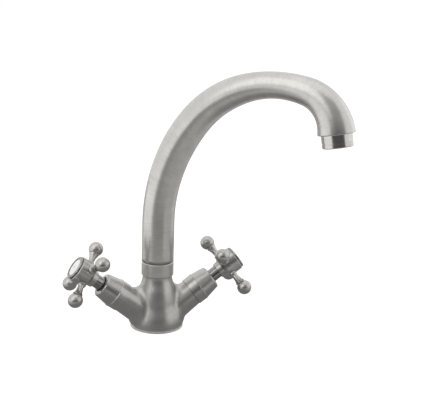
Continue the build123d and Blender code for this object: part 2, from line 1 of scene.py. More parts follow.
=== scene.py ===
# %% [markdown]
# # A two-handle mixer in satin nickel
# This lesson dresses a basin mixer: a bell-shaped body with two inclined valve
# arms, cross handles with ball ends and a tall swan neck. The real one is brass
# with a brushed nickel plating, so nearly everything here is about one metal:
# how its fine brushing lines run round each turned piece, and how a soft white
# studio draws light and dark bands along it.

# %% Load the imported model
import json
from math import cos, pi, radians, sin

import bmesh
import bpy
from mathutils import Matrix, Vector


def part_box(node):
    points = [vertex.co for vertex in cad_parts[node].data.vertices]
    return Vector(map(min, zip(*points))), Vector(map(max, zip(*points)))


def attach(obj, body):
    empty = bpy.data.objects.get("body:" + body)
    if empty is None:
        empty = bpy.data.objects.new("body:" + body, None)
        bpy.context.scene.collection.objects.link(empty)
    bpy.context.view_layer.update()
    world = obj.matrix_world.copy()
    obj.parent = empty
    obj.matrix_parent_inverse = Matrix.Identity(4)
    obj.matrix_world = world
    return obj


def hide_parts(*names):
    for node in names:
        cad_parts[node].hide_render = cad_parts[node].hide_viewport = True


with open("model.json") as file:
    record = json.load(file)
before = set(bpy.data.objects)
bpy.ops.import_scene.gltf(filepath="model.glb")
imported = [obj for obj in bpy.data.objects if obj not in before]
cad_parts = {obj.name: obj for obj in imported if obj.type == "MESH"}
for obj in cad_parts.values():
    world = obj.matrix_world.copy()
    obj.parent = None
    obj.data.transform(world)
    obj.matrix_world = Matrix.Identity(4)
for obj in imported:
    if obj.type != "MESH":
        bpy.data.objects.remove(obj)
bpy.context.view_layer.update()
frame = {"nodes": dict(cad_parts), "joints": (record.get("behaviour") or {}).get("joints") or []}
nodes = frame["nodes"]
MM = 0.001
up_axis = Vector((0, 0, 1))
print("pieces in the frame:", len(nodes))

# %% [markdown]
# ## The camera
# The photo was taken from a little above and a little to the left, with a long
# lens. A camera is placed by turning it round a target point, because each
# number then has a plain meaning: azimuth, elevation, distance and roll. The
# lens follows from the focal length in pixels, for a frame 423 pixels wide.

# %% Camera
photo_width = 423
focal_pixels = 899.95
sensor_width = 36.0
camera_azimuth = radians(-19.086)
camera_elevation = radians(12.902)
camera_roll = radians(1.817)
camera_distance = 0.851
camera_target = Vector((0.051738, 0.0, 0.116257))

backward = Vector((sin(camera_azimuth) * cos(camera_elevation),
                   -cos(camera_azimuth) * cos(camera_elevation), sin(camera_elevation)))
level_right = Vector((cos(camera_azimuth), sin(camera_azimuth), 0.0))
level_up = backward.cross(level_right)
right = level_right * cos(camera_roll) + level_up * sin(camera_roll)
up = backward.cross(right)

scene = bpy.context.scene
camera_data = bpy.data.cameras.new("camera")
camera_data.sensor_width = sensor_width
camera_data.lens = focal_pixels / photo_width * sensor_width
camera = bpy.data.objects.new("camera", camera_data)
scene.collection.objects.link(camera)
turn = Matrix((right, up, backward)).transposed().to_4x4()
camera.matrix_world = Matrix.Translation(camera_target + backward * camera_distance) @ turn
scene.camera = camera
scene.view_settings.view_transform = "Standard"
print("lens, mm:", round(camera_data.lens, 1))

# %% [markdown]
# ## A white studio
# Metal shows its surroundings, so the surroundings are the lighting. A picture
# of a real studio could stand round the mixer, but a plain white world needs no
# file and gives the same even light. The world is pure white where the camera,
# glass and metal look at it, and a little dimmer where it works as a lamp.

# %% World
lamp_white = 0.95


def make_node(tree, kind):
    """A new node in a material, world or group."""
    return tree.nodes.new(kind)


def calculate(tree, operation, first, second=None):
    """A Math node whose inputs are numbers or other nodes' outputs."""
    node = make_node(tree, "ShaderNodeMath")
    node.operation = operation
    for place, value in enumerate((first, second)):
        if value is None:
            continue
        if isinstance(value, (int, float)):
            node.inputs[place].default_value = value
        else:
            tree.links.new(value, node.inputs[place])
    return node.outputs[0]


def seen_directly(tree):
    """1 for a ray that shows this surface to the camera, on its own or in metal or glass."""
    path = make_node(tree, "ShaderNodeLightPath")
    mirrored = calculate(tree, "MAXIMUM", path.outputs["Is Glossy Ray"],
                         path.outputs["Is Transmission Ray"])
    return calculate(tree, "MAXIMUM", path.outputs["Is Camera Ray"], mirrored)


def mix_shaders(tree, factor, first, second):
    """Shows the first shader where the factor is 0 and the second where it is 1."""
    node = make_node(tree, "ShaderNodeMixShader")
    tree.links.new(factor, node.inputs[0])
    tree.links.new(first.outputs[0], node.inputs[1])
    tree.links.new(second.outputs[0], node.inputs[2])
    return node


world = bpy.data.worlds.new("studio")
scene.world = world
world.use_nodes = True
sky = world.node_tree
sky.nodes.clear()
sky_lamp = make_node(sky, "ShaderNodeBackground")
sky_seen = make_node(sky, "ShaderNodeBackground")
sky_out = make_node(sky, "ShaderNodeOutputWorld")
sky_lamp.inputs["Color"].default_value = (1, 1, 1, 1)
sky_lamp.inputs["Strength"].default_value = lamp_white
sky_seen.inputs["Color"].default_value = (1, 1, 1, 1)
sky_mix = mix_shaders(sky, seen_directly(sky), sky_lamp, sky_seen)
sky.links.new(sky_mix.outputs[0], sky_out.inputs["Surface"])
print("the world's strength as a lamp:", lamp_white)

# %% [markdown]
# ## The floor
# The mixer stands on white paper that runs out of the picture. A paper with its
# own colour alone would turn grey wherever a lamp doesn't reach it, so this one
# adds a glow for every ray that shows it to the viewer. Its diffuse part stays,
# and that part carries the soft shadow at the foot.


# %% Floor
def empty_material(name):
    """A material without nodes yet."""
    material = bpy.data.materials.new(name)
    material.use_nodes = True
    material.node_tree.nodes.clear()
    return material


def finish_material(material, surface):
    """Joins the last shader to the material's output."""
    out = make_node(material.node_tree, "ShaderNodeOutputMaterial")
    material.node_tree.links.new(surface.outputs[0], out.inputs["Surface"])
    return material


def mesh_object(name, mesh, material):
    """A finished bmesh as an object with one material."""
    data = bpy.data.meshes.new(name)
    mesh.to_mesh(data)
    mesh.free()
    data.materials.append(material)
    thing = bpy.data.objects.new(name, data)
    scene.collection.objects.link(thing)
    return thing


floor_reach = 6.0
floor_sides = 64
floor_glow = 0.88
floor_colour = 0.30

floor_paper = empty_material("floor paper")
paper = floor_paper.node_tree
paper_diffuse = make_node(paper, "ShaderNodeBsdfDiffuse")
paper_glow = make_node(paper, "ShaderNodeEmission")
paper_seen = make_node(paper, "ShaderNodeAddShader")
paper_diffuse.inputs["Color"].default_value = (floor_colour, floor_colour, floor_colour, 1)
paper_glow.inputs["Strength"].default_value = floor_glow
paper.links.new(paper_diffuse.outputs[0], paper_seen.inputs[0])
paper.links.new(paper_glow.outputs[0], paper_seen.inputs[1])
finish_material(floor_paper, mix_shaders(paper, seen_directly(paper), paper_diffuse, paper_seen))

floor_mesh = bmesh.new()
bmesh.ops.create_circle(floor_mesh, cap_ends=True, segments=floor_sides, radius=floor_reach)
floor = mesh_object("floor", floor_mesh, floor_paper)
print("floor reaches, m:", floor_reach)

# %% [markdown]
# ## Panels
# Three large soft panels are the lamps: one high at the left, one above and one
# at the right. Small bright lamps would do for paint, but metal would show each
# as a hard spot. A wide dim panel only lifts the white world behind it a little,
# so the highlights stay soft and don't burn out.


# %% Panels
def panel(name, place, size, glow):
    """A soft rectangular lamp that faces the mixer; its glow is how bright it looks."""
    lamp = bpy.data.lights.new(name, "AREA")
    lamp.shape = "RECTANGLE"
    lamp.size, lamp.size_y = size
    lamp.energy = glow * pi * size[0] * size[1]
    thing = bpy.data.objects.new(name, lamp)
    scene.collection.objects.link(thing)
    thing.location = place
    thing.rotation_euler = (Vector(place) - object_middle).to_track_quat("Z", "Y").to_euler()
    thing.visible_camera = False


object_middle = Vector((0.03, -0.03, 0.12))
panel("key panel", (-0.94, -0.52, 1.05), (1.0, 1.4), 0.5)
panel("top panel", (0.1, -0.1, 1.4), (1.0, 0.8), 0.25)
panel("fill panel", (1.3, 0.1, 0.6), (0.6, 0.7), 0.35)

# %% [markdown]
# ## Cards
# A photographer sets grey cards round shiny things, and their reflections draw
# the dark bands. Flat squares could do it, but their corners would show in the
# metal, so each card here is one edge swept round the mixer. Some lie on the
# floor: a dark ring round the foot, paler ones further out, and dark ones in
# front, for the surfaces that face the viewer. Two more stand behind the camera.
# Only shiny surfaces show them, because every other ray passes through.


# %% Cards
card_steps = 24
card_height = 0.5 * MM
foot_edge, foot_reach, near_reach, front_reach, wall_distance = 0.027, 0.14, 0.30, 0.60, 1.6
wall_middle, wall_top = 0.60, 2.6


def card(name, start, stop, near, far, glow):
    """A card swept round the mixer between two angles from the camera's side, in degrees."""
    material = empty_material(name)
    light = make_node(material.node_tree, "ShaderNodeEmission")
    light.inputs["Color"].default_value = (glow, glow, glow, 1)
    finish_material(material, light)
    mesh = bmesh.new()
    ends = [mesh.verts.new((0, -radius, height)) for radius, height in (near, far)]
    edge = mesh.edges.new(ends)
    first_turn = Matrix.Rotation(camera_azimuth + radians(start), 3, "Z")
    bmesh.ops.rotate(mesh, verts=ends, cent=(0, 0, 0), matrix=first_turn)
    bmesh.ops.spin(mesh, geom=ends + [edge], cent=(0, 0, 0), axis=up_axis,
                   angle=radians(stop - start), steps=card_steps)
    thing = mesh_object(name, mesh, material)
    thing.visible_camera = thing.visible_diffuse = thing.visible_shadow = False
    thing.visible_transmission = False


def floor_card(name, start, stop, inner, outer, glow):
    """A card on the floor between two distances from the mixer."""
    card(name, start, stop, (inner, card_height), (outer, card_height), glow)


def wall_card(name, start, stop, low, high, glow):
    """A card that stands in a curve between two heights."""
    card(name, start, stop, (wall_distance, low), (wall_distance, high), glow)


floor_card("foot card", 0, 360, foot_edge, foot_reach, 0.27)
floor_card("middle card", 0, 360, foot_reach, near_reach, 0.55)
floor_card("back floor card", 125, 235, near_reach, wall_distance, 0.5)
floor_card("near front card", -45, 45, near_reach, front_reach, 0.33)
floor_card("far front card", -36, 50, front_reach, wall_distance, 0.12)
floor_card("right floor card", 50, 115, near_reach, wall_distance, 0.5)
wall_card("low wall card", -36, 50, card_height, wall_middle, 0.10)
wall_card("high wall card", -14, 50, wall_middle, wall_top, 0.42)

# %% [markdown]
# ## Brushing lines
# A turned piece is brushed while it spins, so its lines are rings. On the side
# of a cylinder the rings follow one another along the axis, and on a flat end
# they follow one another outwards. A picture of scratches would need unwrapping
# and would show its seams. One node group makes both kinds instead: it reads how
# far a point is along the axis and from the axis, and stretches noise along the
# third direction, the angle. The bell of the cast body is rubbed up and down, so
# a second group stretches noise along one axis.


# %% Groups for the brushing lines
def new_group(name, inputs, outputs):
    """An empty node group: inputs are (name, value) pairs, with None for a vector."""
    group = bpy.data.node_groups.new(name, "ShaderNodeTree")
    for label, value in inputs:
        if value is None:
            group.interface.new_socket(name=label, in_out="INPUT", socket_type="NodeSocketVector")
            continue
        kind = "NodeSocketColor" if isinstance(value, tuple) else "NodeSocketFloat"
        made = group.interface.new_socket(name=label, in_out="INPUT", socket_type=kind)
        made.default_value = value
    for label, kind in outputs:
        group.interface.new_socket(name=label, in_out="OUTPUT", socket_type=kind)
    entry, end = make_node(group, "NodeGroupInput"), make_node(group, "NodeGroupOutput")
    return group, entry.outputs, end.inputs


def noise(tree, vector, scale, detail=4.0):
    """A soft random pattern between 0 and 1."""
    node = make_node(tree, "ShaderNodeTexNoise")
    node.inputs["Scale"].default_value = scale
    node.inputs["Detail"].default_value = detail
    tree.links.new(vector, node.inputs["Vector"])
    return node.outputs["Fac"]


def join(tree, first, second, third):
    """Three numbers as one vector."""
    node = make_node(tree, "ShaderNodeCombineXYZ")
    for place, value in enumerate((first, second, third)):
        tree.links.new(value, node.inputs[place])
    return node.outputs[0]


def split(tree, vector):
    """One vector as three numbers."""
    node = make_node(tree, "ShaderNodeSeparateXYZ")
    tree.links.new(vector, node.inputs[0])
    return node.outputs


ring_lines, given, put = new_group(
    "ring lines", (("Vector", None), ("Lines per mm", 3.0), ("Break", 1.2)),
    (("Lines", "NodeSocketFloat"), ("Distance", "NodeSocketFloat")))
across, sideways, along = split(ring_lines, given["Vector"])
squares = calculate(ring_lines, "ADD", calculate(ring_lines, "MULTIPLY", across, across),
                    calculate(ring_lines, "MULTIPLY", sideways, sideways))
distance_out = calculate(ring_lines, "SQRT", squares)
around = calculate(ring_lines, "ARCTAN2", sideways, across)
per_metre = calculate(ring_lines, "MULTIPLY", given["Lines per mm"], 1 / MM)
ring_vector = join(ring_lines, calculate(ring_lines, "MULTIPLY", along, per_metre),
                   calculate(ring_lines, "MULTIPLY", distance_out, per_metre),
                   calculate(ring_lines, "MULTIPLY", around, given["Break"]))
ring_lines.links.new(noise(ring_lines, ring_vector, 1.0), put["Lines"])
ring_lines.links.new(distance_out, put["Distance"])

comb_lines, given, put = new_group(
    "comb lines", (("Vector", None), ("Lines per mm", 3.0), ("Stretch", 0.03)),
    (("Lines", "NodeSocketFloat"),))
across, sideways, along = split(comb_lines, given["Vector"])
per_metre = calculate(comb_lines, "MULTIPLY", given["Lines per mm"], 1 / MM)
slow = calculate(comb_lines, "MULTIPLY", per_metre, given["Stretch"])
comb_vector = join(comb_lines, calculate(comb_lines, "MULTIPLY", across, per_metre),
                   calculate(comb_lines, "MULTIPLY", sideways, per_metre),
                   calculate(comb_lines, "MULTIPLY", along, slow))
comb_lines.links.new(noise(comb_lines, comb_vector, 1.0), put["Lines"])
print("groups:", ring_lines.name, "and", comb_lines.name)

# %% [markdown]
# ## The plating
# Satin nickel is a warm grey metal with a soft, slightly uneven gloss. Its
# colour and roughness follow the brushing lines a little, and a slow cloudiness
# left by the polishing hand shifts both. Each material could do this by itself,
# but one group, built once, keeps all the pieces of one plating alike. It turns
# lines and clouds into a colour and a roughness.


# %% Plating group
def ramp(tree, value, low, high, low_at=0.0, high_at=1.0):
    """Maps a value onto a range; the ends may be numbers or sockets."""
    node = make_node(tree, "ShaderNodeMapRange")
    for label, end in (("Value", value), ("From Min", low_at), ("From Max", high_at),
                       ("To Min", low), ("To Max", high)):
        if isinstance(end, (int, float)):
            node.inputs[label].default_value = end
        else:
            tree.links.new(end, node.inputs[label])
    return node.outputs["Result"]


def mix(tree, kind, factor, first, second):
    """Blends two colours (kind RGBA) or two numbers (kind FLOAT)."""
    node = make_node(tree, "ShaderNodeMix")
    node.data_type = kind
    for label, value in (("Factor", factor), ("A", first), ("B", second)):
        if isinstance(value, (int, float, tuple)):
            node.inputs[label].default_value = value
        else:
            tree.links.new(value, node.inputs[label])
    return node.outputs["Result"]


def nickel(painted_shade):
    """The darker and the lighter nickel of a finish, as the plating group takes them, both
    darkened by a painted shade below 1.
    """
    return {"Dark": (0.50 * painted_shade, 0.485 * painted_shade, 0.46 * painted_shade, 1),
            "Light": (0.66 * painted_shade, 0.645 * painted_shade, 0.62 * painted_shade, 1)}


noise_span = (0.3, 0.7)
cloud_scale, mottle_scale, mottle_share = 90.0, 700.0, 0.35
plain_nickel = nickel(1.0)
plating, given, put = new_group(
    "plating", (("Vector", None), ("Lines", 0.5),
                ("Dark", plain_nickel["Dark"]), ("Light", plain_nickel["Light"]),
                ("Roughness", 0.3), ("Spread", 0.1), ("Streaks", 0.5)),
    (("Colour", "NodeSocketColor"), ("Roughness", "NodeSocketFloat")))
clouds = noise(plating, given["Vector"], cloud_scale, 3.0)
mottle = noise(plating, given["Vector"], mottle_scale, 2.0)
patchy = mix(plating, "FLOAT", mottle_share, clouds, mottle)
blend = mix(plating, "FLOAT", given["Streaks"], patchy, given["Lines"])
shade = ramp(plating, blend, 0.0, 1.0, *noise_span)
plating.links.new(mix(plating, "RGBA", shade, given["Dark"], given["Light"]), put["Colour"])
half = calculate(plating, "MULTIPLY", given["Spread"], 0.5)
dullest = calculate(plating, "ADD", given["Roughness"], half)
glossiest = calculate(plating, "SUBTRACT", given["Roughness"], half)
plating.links.new(ramp(plating, blend, dullest, glossiest, *noise_span), put["Roughness"])
print("group:", plating.name)

# %% [markdown]
# ## Satin nickel
# Two sets of lines make the finish. Coarse ones, about one to a millimetre, show
# as streaks of colour and gloss. Fine ones are too small to see, and real ones
# would be cut a few microns deep. A bump of that depth smears each reflection
# across the lines. The shader's own anisotropy could smear it too, but it needs
# a direction at every point, while the bump already follows the lines.


# %% Satin nickel
def place_group(tree, group, **values):
    """A group in a material, with numbers, colours or links on its sockets."""
    node = make_node(tree, "ShaderNodeGroup")
    node.node_tree = group
    for label, value in values.items():
        socket = node.inputs[label.replace("_", " ")]
        if isinstance(value, (int, float, tuple)):
            socket.default_value = value
        else:
            tree.links.new(value, socket)
    return node.outputs


def bump(tree, height, depth):
    """Lifts the surface by a depth in metres where the height is 1."""
    node = make_node(tree, "ShaderNodeBump")
    node.inputs["Distance"].default_value = depth
    tree.links.new(height, node.inputs["Height"])
    return node.outputs["Normal"]


def principled(material, colour, roughness, normal=None, **values):
    """Ends a material with a Principled BSDF; colour and roughness are numbers or links."""
    tree = material.node_tree
    node = make_node(tree, "ShaderNodeBsdfPrincipled")
    for label, value in (("Base Color", colour), ("Roughness", roughness), ("Normal", normal)):
        if isinstance(value, (int, float, tuple)):
            node.inputs[label].default_value = value
        elif value is not None:
            tree.links.new(value, node.inputs[label])
    for label, value in values.items():
        node.inputs[label.replace("_", " ")].default_value = value
    return finish_material(material, node)


fine_depth = 0.006 * MM
fine_per_mm, coarse_per_mm = 7.0, 1.1
coarse_break = 1.6
gloss_spread = 0.10


def satin(name, vector_maker, rough=0.31, streaks=0.45, painted_shade=1.0):
    """Brushed nickel on a turned piece; a painted shade below 1 draws the same plating darker."""
    material = empty_material(name)
    tree = material.node_tree
    vector = vector_maker(tree)
    fine = place_group(tree, ring_lines, Vector=vector, Lines_per_mm=fine_per_mm)["Lines"]
    coarse = place_group(tree, ring_lines, Vector=vector, Lines_per_mm=coarse_per_mm,
                         Break=coarse_break)["Lines"]
    metal = place_group(tree, plating, Vector=vector, Lines=coarse, Roughness=rough,
                        Spread=gloss_spread, Streaks=streaks, **nickel(painted_shade))
    return principled(material, metal["Colour"], metal["Roughness"],
                      bump(tree, fine, fine_depth), Metallic=1.0)


print("fine and coarse lines to a millimetre:", fine_per_mm, coarse_per_mm)

# %% [markdown]
# ## The swan neck
# The neck is one tube that rises, leans over in three arcs and ends in a flared
# mouth. The frame has it as a solid, which would do for its shape, but brushing
# lines have to follow the bend and a solid doesn't say how far along the neck a
# point is. So the neck is drawn again along its centre line, which this cell
# works out from the lengths and bends of the arcs.

# %% Centre line of the neck
neck_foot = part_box("spout_tube")[0].z
neck_swing = radians(44.0)
neck_outwards = Vector((sin(neck_swing), -cos(neck_swing), 0))
neck_sideways = Vector((-cos(neck_swing), -sin(neck_swing), 0))
neck_straight = 36.0 * MM
neck_arcs = ((154.5 * MM, radians(40.4)), (102.0 * MM, radians(64.2)), (37.7 * MM, radians(65.2)))
neck_end = 3.1 * MM
neck_length = neck_straight + sum(radius * turned for radius, turned in neck_arcs) + neck_end


def neck_place(length):
    """How far out, how high and how far bent over the neck is after a length of tube."""
    out, height, bent = 0.0, neck_foot, 0.0
    left = min(length, neck_straight)
    height += left
    length -= left
    for radius, turned in neck_arcs:
        part = min(max(length / radius, 0.0), turned)
        out += radius * (cos(bent) - cos(bent + part))
        height += radius * (sin(bent + part) - sin(bent))
        bent += part
        length -= radius * part
    rest = max(length, 0.0)
    return out + rest * sin(bent), height + rest * cos(bent), bent


print("neck length, mm:", round(neck_length / MM))

# %% [markdown]
# ## The neck's width
# The tube keeps its width up to the middle, narrows over the bend and flares at
# the mouth. Straight cones between the measured places would show a crease at
# each, so a smooth curve joins them.

# %% Width of the neck
neck_wall = 2.6 * MM
neck_radii = ((0.0, 15.0), (0.1, 14.95), (0.2, 14.9), (0.4, 15.1), (0.6, 13.5),
              (0.75, 11.5), (0.88, 12.65), (1.0, 16.0))


def smooth_radius(share):
    """The tube's radius at a share of its length, eased through the measured places."""
    places = [place for place, size in neck_radii]
    sizes = [size * MM for place, size in neck_radii]
    step = max(i for i in range(len(places) - 1) if places[i] <= share or i == 0)
    before, after = max(step - 1, 0), min(step + 2, len(places) - 1)
    span = places[step + 1] - places[step]
    slope_in = (sizes[step + 1] - sizes[before]) / (places[step + 1] - places[before]) * span
    slope_out = (sizes[after] - sizes[step]) / (places[after] - places[step]) * span
    t = (share - places[step]) / span
    return (sizes[step] * (2 * t**3 - 3 * t**2 + 1) + slope_in * (t**3 - 2 * t**2 + t)
            + sizes[step + 1] * (3 * t**2 - 2 * t**3) + slope_out * (t**3 - t**2))


print("width of the mouth, mm:", round(2 * smooth_radius(1.0) / MM, 1))

# %% [markdown]
# ## The neck's sleeve
# The sleeve is a stack of rings: up the outside, round the lip of the mouth and
# back down the inside. A curve with a bevel could make a plain tube, but this
# one changes its width and has a wall. Each ring is extruded from the one before
# it and carried to its next place, and every vertex remembers where it lies
# round and along the neck, for the brushing.

# %% Places of the rings
outer_step = 3.0 * MM
inner_step = 9.0 * MM
lip_round = 0.9 * MM
lip_steps = 4

outer_count = round((neck_length - lip_round) / outer_step)
outer_lengths = [(neck_length - lip_round) * i / outer_count for i in range(outer_count + 1)]
stations = [(length, smooth_radius(length / neck_length)) for length in outer_lengths]
mouth_radius = smooth_radius(1.0)
for i in range(1, lip_steps + 1):
    bend = pi / 2 * i / lip_steps
    stations.append((neck_length - lip_round * (1 - sin(bend)),
                     mouth_radius - lip_round * (1 - cos(bend))))
inner_count = round(neck_length / inner_step)
for i in range(inner_count + 1):
    share = 1 - i / inner_count
    stations.append((neck_length * share, smooth_radius(share) - neck_wall))
print("rings:", len(stations))

# %% Neck sleeve
ring_sides = 72


def ring_frame(length, radius):
    """The matrix that carries a unit circle to its place on the neck."""
    out, height, bent = neck_place(length)
    centre = neck_outwards * out + up_axis * height
    forward = neck_outwards * sin(bent) + up_axis * cos(bent)
    inwards = neck_sideways.cross(forward)
    turned = Matrix((neck_sideways, -inwards, forward)).transposed().to_4x4()
    return Matrix.Translation(centre) @ turned @ Matrix.Diagonal((radius, radius, radius, 1))


sleeve = bmesh.new()
brush = sleeve.verts.layers.float_vector.new("brush")
circle = bmesh.ops.create_circle(sleeve, segments=ring_sides, radius=1.0)
ring = circle["verts"]
place = ring_frame(*stations[0])
bmesh.ops.transform(sleeve, matrix=place, verts=ring)
for station, following in zip(stations, stations[1:] + stations[:1]):
    for vertex in ring:
        local = place.inverted() @ vertex.co
        vertex[brush] = Vector((local.x * station[1], local.y * station[1], station[0]))
    if following == stations[0]:
        break
    edges = [edge for edge in sleeve.edges if all(vertex in ring for vertex in edge.verts)]
    extruded = bmesh.ops.extrude_edge_only(sleeve, edges=edges)["geom"]
    ring = [item for item in extruded if isinstance(item, bmesh.types.BMVert)]
    next_place = ring_frame(*following)
    bmesh.ops.transform(sleeve, matrix=next_place @ place.inverted(), verts=ring)
    place = next_place
open_edges = [edge for edge in sleeve.edges if edge.is_boundary]
bmesh.ops.bridge_loops(sleeve, edges=open_edges)
bmesh.ops.recalc_face_normals(sleeve, faces=sleeve.faces)
print("neck faces:", len(sleeve.faces))


# %% Satin nickel along the neck
def remembered(tree, name):
    """A vector that a new piece remembers at each vertex."""
    attribute = make_node(tree, "ShaderNodeAttribute")
    attribute.attribute_name = name
    return attribute.outputs["Vector"]


def new_piece(name, mesh, material, body):
    """A finished mesh as a piece of the mixer."""
    piece = mesh_object(name, mesh, material)
    for face in piece.data.polygons:
        face.use_smooth = True
    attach(piece, body)
    return piece


neck_nickel = satin("satin nickel neck", lambda tree: remembered(tree, "brush"))
neck = new_piece("neck_sleeve", sleeve, neck_nickel, "spout")
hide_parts("spout_tube")
print("dressed:", neck.name)

# %% [markdown]
# ## The turned pieces
# Collar, valve covers, hubs and bezels came off a lathe, so each has rings round
# its own axis. Every piece could be unwrapped for them, but an axis is enough
# here, and the frame's joints give it. All take the same nickel, but the low
# pieces are drawn darker than the neck as painted shade, and the bezels darkest
# of all. The ball arms were tumbled, which leaves a cloudy grain with hardly any
# streaks.

# %% Axes of the turned pieces
joints = {joint["name"]: joint for joint in frame["joints"]}
valve_axes = {side: Vector(joints[f"{side}_turn"]["axis"]) for side in ("hot", "cold")}
valve_origin = Vector(joints["hot_turn"]["pos_m"])


def axis_mapping(tree, origin, direction):
    """Object coordinates turned so that a piece's own axis runs along Z."""
    coordinates = make_node(tree, "ShaderNodeTexCoord")
    mapping = make_node(tree, "ShaderNodeMapping")
    mapping.vector_type = "TEXTURE"
    mapping.inputs["Location"].default_value = origin
    mapping.inputs["Rotation"].default_value = direction.to_track_quat("Z", "Y").to_euler()
    tree.links.new(coordinates.outputs["Object"], mapping.inputs["Vector"])
    return mapping.outputs["Vector"]


def about(origin, direction):
    """Makes the vector of a piece turned round an axis."""
    return lambda tree: axis_mapping(tree, origin, direction)


for side, axis in valve_axes.items():
    print(side, "valve axis:", [round(part, 3) for part in axis])


# %% Finishes of the turned pieces
def dress(name, material):
    """Gives a piece of the frame its finish."""
    node = nodes[name]
    node.data.materials.clear()
    node.data.materials.append(material)


# Painted shade: the same satin nickel is drawn a little darker on the collar, darker on the low
# pieces and darkest on the bezels.
collar_painted_shade, low_painted_shade, bezel_painted_shade = 0.93, 0.86, 0.62
upright_place = about((0, 0, 0), up_axis)
dress("spout_collar", satin("satin nickel collar", upright_place, painted_shade=collar_painted_shade))
for side, axis in valve_axes.items():
    turning = about(valve_origin, axis)
    turned_nickel = satin(f"satin nickel {side}", turning, painted_shade=low_painted_shade)
    for piece in ("valve_cover", "handle_hub"):
        dress(f"{side}_{piece}", turned_nickel)
    # Painted shade: the bezels take the same nickel, drawn much darker.
    shaded_bezel_nickel = satin(f"dark nickel {side}", turning, rough=0.25, painted_shade=bezel_painted_shade)
    dress(f"{side}_index_bezel", shaded_bezel_nickel)
    tumbled = satin(f"tumbled nickel {side}", turning, rough=0.30, streaks=0.1, painted_shade=low_painted_shade)
    dress(f"{side}_handle_arms", tumbled)
print("materials so far:", len(bpy.data.materials))

# %% [markdown]
# ## The body's finish
# The casting is polished by hand. On the bell the lines run up and down, and
# on each valve arm they run round the arm. Three materials would meet in hard
# borders, so one material holds all three sets of lines and blends them by how
# far out to the side a point lies.

# %% Body finish
arm_blend = (12.0 * MM, 24.0 * MM)
body_nickel = empty_material("satin nickel body")
tree = body_nickel.node_tree
upright = axis_mapping(tree, (0, 0, 0), up_axis)
side_place = split(tree, upright)[0]


def body_lines(lines_per_mm):
    """The three sets of lines, blended over the body."""
    lines = place_group(tree, comb_lines, Vector=upright, Lines_per_mm=lines_per_mm)["Lines"]
    for side, axis in valve_axes.items():
        towards = calculate(tree, "MULTIPLY", side_place, 1.0 if axis.x > 0 else -1.0)
        mask = ramp(tree, towards, 0.0, 1.0, *arm_blend)
        rings = place_group(tree, ring_lines, Vector=axis_mapping(tree, valve_origin, axis),
                            Lines_per_mm=lines_per_mm)["Lines"]
        lines = mix(tree, "FLOAT", mask, lines, rings)
    return lines


# Painted shade: the body takes the low pieces' darker nickel.
body_metal = place_group(tree, plating, Vector=upright, Lines=body_lines(coarse_per_mm),
                         Roughness=0.37, Spread=gloss_spread, Streaks=0.4, **nickel(low_painted_shade))
principled(body_nickel, body_metal["Colour"], body_metal["Roughness"],
           bump(tree, body_lines(fine_per_mm), fine_depth), Metallic=1.0)
print("nodes in the body's finish:", len(tree.nodes))

# %% [markdown]
# ## The rim of the casting
# The frame's casting flares evenly down to the deck. The real one ends in an
# upright rim, which shows as a dark band round the foot. A separate skirt would
# leave a seam, and the difference is only a millimetre or two. So a copy of the
# frame's mesh is cut into level slices near the deck, and each slice is pushed
# outwards a little. The push fades with height and out along the arms, and it
# leaves the core alone.

# %% Slices of the casting
slice_count = 30
front_share = 0.25
weld_gap, cut_gap, level_gap = 0.002 * MM, 0.0001 * MM, 0.005 * MM


def flat(vertex):
    """Distance from the upright axis."""
    return vertex.co.xy.length


casting = bmesh.new()
casting.from_mesh(nodes["mixer_body"].data)
bmesh.ops.remove_doubles(casting, verts=casting.verts, dist=weld_gap)
levels = [step * MM for step in range(1, slice_count + 1)]
for level in levels:
    bmesh.ops.bisect_plane(casting, geom=casting.verts[:] + casting.edges[:] + casting.faces[:],
                           plane_co=(0, 0, level), plane_no=up_axis, dist=cut_gap)
front = [vertex for vertex in casting.verts if abs(vertex.co.x) < -front_share * vertex.co.y]
bell = [max(flat(vertex) for vertex in front if abs(vertex.co.z - level) < level_gap)
        for level in levels]
print("bell's width at the lowest and the highest slice, mm:",
      round(2 * bell[0] / MM, 1), round(2 * bell[-1] / MM, 1))

# %% Rim of the casting
rim_radius = 24.85 * MM
rim_draft = 0.04
rim_fade = (4.0 * MM, 26.0 * MM)
arm_fade = 6.0 * MM
core_radius = 17.0 * MM
sharp_bend = radians(32)


def ease(value, low, high):
    """0 below low and 1 above high, with a soft step between them."""
    t = min(max((value - low) / (high - low), 0.0), 1.0)
    return t * t * (3 - 2 * t)


def bell_radius(height):
    """The bell's own radius at a height, read between two slices."""
    step = min(max(int(height / MM), 1), slice_count - 1)
    low, high = bell[step - 1], bell[step]
    return low + (high - low) * (height - levels[step - 1]) / MM


largest_push = 0.0
for vertex in casting.verts:
    radius, height = flat(vertex), vertex.co.z
    if radius < core_radius or height > levels[-1] or height < levels[0] / 2:
        continue
    here = bell_radius(height)
    push = (rim_radius - rim_draft * height - here) * (1 - ease(height, *rim_fade))
    push *= 1 - ease(radius, here, here + arm_fade)
    vertex.co.xy *= (radius + push) / radius
    largest_push = max(largest_push, push)
for edge in casting.edges:
    edge.smooth = len(edge.link_faces) == 2 and edge.calc_face_angle(0) < sharp_bend
body = new_piece("casting", casting, body_nickel, "tap_body")
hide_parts("mixer_body")
print("largest push, mm:", round(largest_push / MM, 2))

# %% [markdown]
# ## The smaller parts
# Chrome necks, brass spindles, rubber, plastic, ceramic and steel are seen only
# in gaps and from below. One grey could hide them all, yet each gets its own
# finish, because a view with a piece taken off shows them. Moulded and ground
# pieces have a plain grain, and bare metal has a lathe's rings.


